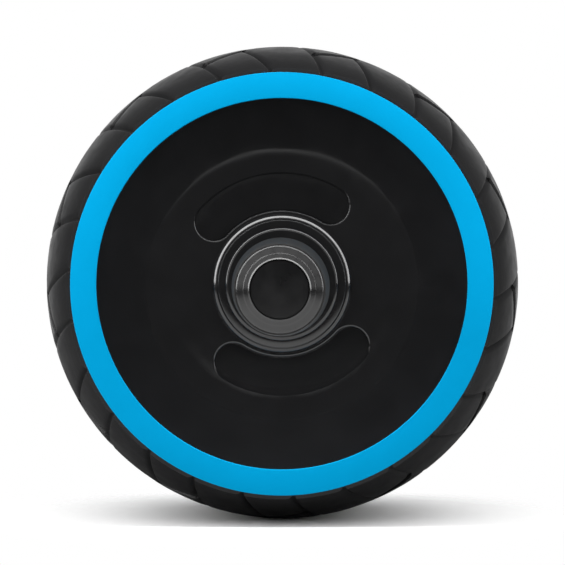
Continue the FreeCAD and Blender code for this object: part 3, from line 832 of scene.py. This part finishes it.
@dataclass
class Studio:
    """The floor, the surround, the lamps and the camera.

    Lengths are in metres and angles in degrees. The lens and its sensor are in millimetres.
    """

    floor_level: float = -0.095
    floor_reach: float = 1.2
    floor_grey: str = "#707070"
    floor_white: str = "#FAFAFA"
    # How far from the middle the floor starts to fade and where it is gone, first as a light on the object
    # and then to the eye.
    floor_fades: tuple[tuple[float, float], ...] = ((0.35, 1.0), (0.1, 0.17))
    # The stations between which the floor in front turns white in reflections.
    card_start: float = -0.04
    card_end: float = -0.075
    # The part of the surround behind the object that turns white in reflections, by how straight back it is.
    behind_start: float = 0.74
    behind_end: float = 1.0
    surround_white: str = "#FFFFFF"
    ambient: float = 0.12
    eye: tuple[float, float, float] = (0.0067, -1.262, 0.0167)
    aim: tuple[float, float, float] = (0.00028, -0.062, 0.00062)
    lens: float = 196.8
    sensor: float = 36.0
    clip_start: float = 0.01
    middle: tuple[float, float, float] = (0.0, -0.06, 0.0)
    arches: tuple[Arch, ...] = (
        Arch("overhead_softbox", polar=79.0, thickness=14.0, radiance=10.0),
        Arch("front_fill", polar=42.0, thickness=30.0, radiance=1.27),
    )
    lamp_distance: float = 1.3
    lamp_count: int = 9
    # The lamps on the upper left are brighter by up to this share, and those away from it dimmer.
    key_share: float = 0.2
    key_turn: float = 135.0

    def build(self) -> None:
        """Makes the whole studio."""
        self.floor()
        self.surround()
        for arch in self.arches:
            self.hang(arch)
        self.camera()

    def floor(self) -> None:
        """Makes the floor: white to the eye and in reflections in front, grey as a light on the object."""
        shape = bmesh.new()
        bmesh.ops.create_grid(shape, x_segments=1, y_segments=1, size=self.floor_reach)
        bmesh.ops.translate(shape, verts=shape.verts[:], vec=(0, 0, self.floor_level))
        floor = finished("pale_floor", shape)
        paper = bpy.data.materials.new("paper_matt_pale")
        paper.use_nodes = True
        tree = paper.node_tree
        tree.nodes.clear()
        place = add_node(tree, "ShaderNodeTexCoord").outputs["Object"]
        away = add_node(tree, "ShaderNodeVectorMath", {0: place}, operation="LENGTH")
        forward = add_node(tree, "ShaderNodeSeparateXYZ", {"Vector": place})
        path = add_node(tree, "ShaderNodeLightPath")
        fades = [add_node(tree, "ShaderNodeMapRange", {
            "Value": away.outputs["Value"], "From Min": far, "From Max": near,
        }, interpolation_type="SMOOTHSTEP") for near, far in self.floor_fades]
        cover = add_node(tree, "ShaderNodeMapRange", {
            "Value": path.outputs["Is Camera Ray"],
            "To Min": fades[0].outputs["Result"], "To Max": fades[1].outputs["Result"],
        })
        card = add_node(tree, "ShaderNodeMapRange", {
            "Value": forward.outputs["Y"], "From Min": self.card_start, "From Max": self.card_end,
        }, interpolation_type="SMOOTHSTEP")
        seen = add_node(tree, "ShaderNodeMath", {
            0: path.outputs["Is Glossy Ray"], 1: card.outputs["Result"], 2: path.outputs["Is Camera Ray"],
        }, operation="MULTIPLY_ADD", use_clamp=True)
        grey = add_node(tree, "ShaderNodeBsdfDiffuse", {"Color": linear(self.floor_grey)})
        white = add_node(tree, "ShaderNodeBsdfDiffuse", {"Color": linear(self.floor_white)})
        matt = add_node(tree, "ShaderNodeMixShader", {
            0: seen.outputs["Value"], 1: grey.outputs["BSDF"], 2: white.outputs["BSDF"],
        })
        clear = add_node(tree, "ShaderNodeBsdfTransparent")
        mixed = add_node(tree, "ShaderNodeMixShader", {
            0: cover.outputs["Result"], 1: clear.outputs["BSDF"], 2: matt.outputs["Shader"],
        })
        add_node(tree, "ShaderNodeOutputMaterial", {"Surface": mixed.outputs["Shader"]})
        floor.data.materials.append(paper)

    def surround(self) -> None:
        """Makes the surround: white to the eye and in reflections from behind, dim elsewhere."""
        world = bpy.data.worlds.new("studio_surround")
        bpy.context.scene.world = world
        world.use_nodes = True
        tree = world.node_tree
        tree.nodes.clear()
        way = add_node(tree, "ShaderNodeTexCoord").outputs["Generated"]
        parts = add_node(tree, "ShaderNodeSeparateXYZ", {"Vector": way})
        behind = add_node(tree, "ShaderNodeMapRange", {
            "Value": parts.outputs["Y"], "From Min": self.behind_start, "From Max": self.behind_end,
        }, interpolation_type="SMOOTHSTEP")
        path = add_node(tree, "ShaderNodeLightPath")
        mirrored = add_node(tree, "ShaderNodeMath", {
            0: path.outputs["Is Glossy Ray"], 1: path.outputs["Is Transmission Ray"],
        }, operation="MAXIMUM")
        shown = add_node(tree, "ShaderNodeMath", {
            0: mirrored.outputs["Value"], 1: behind.outputs["Result"], 2: path.outputs["Is Camera Ray"],
        }, operation="MULTIPLY_ADD", use_clamp=True)
        level = add_node(tree, "ShaderNodeMapRange", {
            "Value": shown.outputs["Value"], "To Min": self.ambient, "To Max": 1.0,
        })
        sky = add_node(tree, "ShaderNodeBackground", {
            "Color": linear(self.surround_white), "Strength": level.outputs["Result"],
        })
        add_node(tree, "ShaderNodeOutputWorld", {"Surface": sky.outputs["Background"]})

    def hang(self, arch: Arch) -> None:
        """Hangs one arch's lamps, each turned to the object.

        Args:
            arch: The arch, whose name starts the names of its lamps.
        """
        tip = math.radians(arch.polar)
        reach = self.lamp_distance * math.sin(tip)
        step = math.pi / self.lamp_count
        width = 2 * reach * math.tan(step / 2)
        height = self.lamp_distance * math.radians(arch.thickness)
        for index in range(self.lamp_count):
            turn = step * (index + 0.5)
            out = Vector((math.cos(turn) * math.sin(tip), -math.cos(tip), math.sin(turn) * math.sin(tip)))
            along = Vector((-math.sin(turn), 0, math.cos(turn)))
            light = bpy.data.lights.new(f"{arch.name}_{index}", "AREA")
            light.shape = "RECTANGLE"
            light.size, light.size_y = width, height
            key = 1 + self.key_share * math.cos(turn - math.radians(self.key_turn))
            light.energy = arch.radiance * key * math.pi * width * height
            lamp = bpy.data.objects.new(light.name, light)
            turned_to = Matrix((along, out.cross(along), out)).transposed().to_4x4()
            lamp.matrix_world = Matrix.Translation(Vector(self.middle) + out * self.lamp_distance) @ turned_to
            bpy.context.scene.collection.objects.link(lamp)

    def camera(self) -> None:
        """Places the camera where the photograph was taken from."""
        data = bpy.data.cameras.new("camera")
        data.lens = self.lens
        data.sensor_width = self.sensor
        data.clip_start = self.clip_start
        camera = bpy.data.objects.new("camera", data)
        camera.location = self.eye
        camera.rotation_euler = (Vector(self.aim) - Vector(self.eye)).to_track_quat("-Z", "Y").to_euler()
        bpy.context.scene.collection.objects.link(camera)
        bpy.context.scene.camera = camera


def main() -> None:
    """Dresses the frame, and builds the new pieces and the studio."""
    logging.basicConfig(level=logging.INFO, format="%(name)s: %(message)s")
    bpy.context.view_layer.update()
    bpy.context.scene.view_settings.view_transform = "Standard"
    paints = Paints()
    for node in frame["nodes"]:
        paints.on_node(node)
    Tyre().dress(paints)
    for side in Side:
        TrimRing(side).dress(paints)
        HubCollar(side).dress(paints)
        Handle(side).dress(paints)
    Studio().build()


if __name__ == "__main__":
    main()
